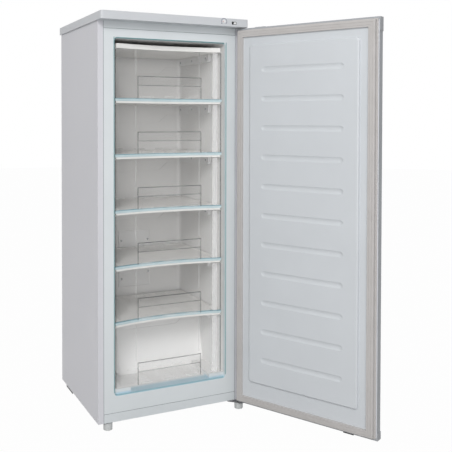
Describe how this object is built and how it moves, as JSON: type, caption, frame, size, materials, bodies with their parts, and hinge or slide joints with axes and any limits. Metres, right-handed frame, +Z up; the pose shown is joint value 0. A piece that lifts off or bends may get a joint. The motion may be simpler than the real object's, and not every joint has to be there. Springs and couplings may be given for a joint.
{
  "type": "upright freezer",
  "caption": "Tall free-standing freezer with its right-hinged door open, stacked see-through drawers on cooled shelves, a flat worktop with front controls and a rear heat exchanger.",
  "frame": {"origin": "on the floor, in the middle of the cabinet's width, in the plane of the cabinet's front face", "axes": "+X to the right seen from the front, +Y to the back, +Z up"},
  "size_m": [0.8013, 1.0261, 1.42],
  "materials": {
    "white_paint": "satin",
    "white_liner": "satin moulded sheet",
    "worktop_plastic": "fine satin",
    "cap_plastic": "fine satin",
    "seal_rubber": "soft matt",
    "drawer_plastic": "clear moulded",
    "trim_plastic": "satin",
    "plate_metal": "satin",
    "galvanised_steel": "zinc-coated",
    "dark_steel": "satin",
    "tube_aluminium": "drawn",
    "copper": "drawn",
    "white_plastic": "satin",
    "pale_plastic": "satin",
    "dark_plastic": "matt",
    "dark_rubber": "matt",
    "screw_steel": "bright",
    "foam": "foamed"
  },
  "bodies": {
    "door": {"door_skin": "white_paint", "door_foam": "foam", "door_liner": "white_liner", "door_gasket": "seal_rubber", "door_cap_top": "cap_plastic", "door_cap_bottom": "cap_plastic", "door_pad": "dark_rubber", "hinge_bushes": "white_plastic"},
    "knob": {"thermostat_knob": "white_plastic"},
    "switch_slider": {"freeze_switch_slider": "white_plastic"},
    "foot_left": {"front_foot_left": "pale_plastic"},
    "foot_right": {"front_foot_right": "pale_plastic"},
    "roller_left": {"rear_roller_left": "dark_plastic"},
    "roller_right": {"rear_roller_right": "dark_plastic"},
    "drawer_1": {"drawer_1": "drawer_plastic"},
    "drawer_2": {"drawer_2": "drawer_plastic"},
    "drawer_3": {"drawer_3": "drawer_plastic"},
    "drawer_4": {"drawer_4": "drawer_plastic"},
    "drawer_5": {"drawer_5": "drawer_plastic"},
    "drawer_6": {"drawer_6": "drawer_plastic"},
    "cabinet": {"back_panel": "galvanised_steel", "base_pan": "galvanised_steel", "bottom_hinge_bracket": "dark_steel", "cabinet_foam": "foam", "cabinet_screws": "screw_steel", "compressor": "dark_steel", "compressor_grommets": "dark_rubber", "compressor_rail": "dark_steel", "condenser_brackets": "dark_plastic", "condenser_tube": "dark_steel", "condenser_wires": "dark_steel", "evaporator_plate_top": "plate_metal", "evaporator_shelf_1": "plate_metal", "evaporator_shelf_2": "plate_metal", "evaporator_shelf_3": "plate_metal", "evaporator_shelf_4": "plate_metal", "evaporator_shelf_5": "plate_metal", "evaporator_tubes": "tube_aluminium", "filter_drier": "copper", "freeze_switch_body": "dark_plastic", "hinge_pins": "screw_steel", "inner_liner": "white_liner", "interior_screws": "screw_steel", "joint_cover": "white_plastic", "kick_rail": "white_paint", "niche_panel": "galvanised_steel", "power_inlet": "dark_plastic", "refrigerant_pipes": "copper", "relay_cover": "dark_plastic", "roller_axles": "screw_steel", "roller_brackets": "galvanised_steel", "shelf_brackets_left": "white_plastic", "shelf_brackets_right": "white_plastic", "shelf_trims": "trim_plastic", "side_panel_left": "white_paint", "side_panel_right": "white_paint", "thermostat_body": "white_plastic", "top_hinge_bracket": "galvanised_steel", "top_sheet": "white_paint", "worktop": "worktop_plastic"}
  },
  "joints": [
    {"name": "door_hinge", "type": "hinge", "parent": "cabinet", "child": "door", "pos_m": [0.2625, -0.025, 0.7], "axis": [0, 0, 1], "range_deg": [-117, 3]},
    {"name": "drawer_1_slide", "type": "slide", "parent": "cabinet", "child": "drawer_1", "axis": [0, -1, 0], "range_m": [0, 0.26]},
    {"name": "drawer_2_slide", "type": "slide", "parent": "cabinet", "child": "drawer_2", "axis": [0, -1, 0], "range_m": [0, 0.26]},
    {"name": "drawer_3_slide", "type": "slide", "parent": "cabinet", "child": "drawer_3", "axis": [0, -1, 0], "range_m": [0, 0.26]},
    {"name": "drawer_4_slide", "type": "slide", "parent": "cabinet", "child": "drawer_4", "axis": [0, -1, 0], "range_m": [0, 0.26]},
    {"name": "drawer_5_slide", "type": "slide", "parent": "cabinet", "child": "drawer_5", "axis": [0, -1, 0], "range_m": [0, 0.26]},
    {"name": "drawer_6_slide", "type": "slide", "parent": "cabinet", "child": "drawer_6", "axis": [0, -1, 0], "range_m": [0, 0.12]},
    {"name": "thermostat_turn", "type": "hinge", "parent": "cabinet", "child": "knob", "pos_m": [0.1775, -0.05, 1.4078], "axis": [0, 1, 0], "range_deg": [-135, 135]},
    {"name": "switch_slide", "type": "slide", "parent": "cabinet", "child": "switch_slider", "axis": [1, 0, 0], "range_m": [-0.007, 0]},
    {"name": "foot_left_turn", "type": "hinge", "parent": "cabinet", "child": "foot_left", "pos_m": [-0.23, 0.0185, 0.01], "axis": [0, 0, 1], "continuous": true},
    {"name": "foot_right_turn", "type": "hinge", "parent": "cabinet", "child": "foot_right", "pos_m": [0.2625, -0.009, 0.01], "axis": [0, 0, 1], "continuous": true},
    {"name": "roller_left_spin", "type": "hinge", "parent": "cabinet", "child": "roller_left", "pos_m": [-0.236, 0.44, 0.0125], "axis": [1, 0, 0], "continuous": true},
    {"name": "roller_right_spin", "type": "hinge", "parent": "cabinet", "child": "roller_right", "pos_m": [0.236, 0.44, 0.0125], "axis": [1, 0, 0], "continuous": true}
  ]
}
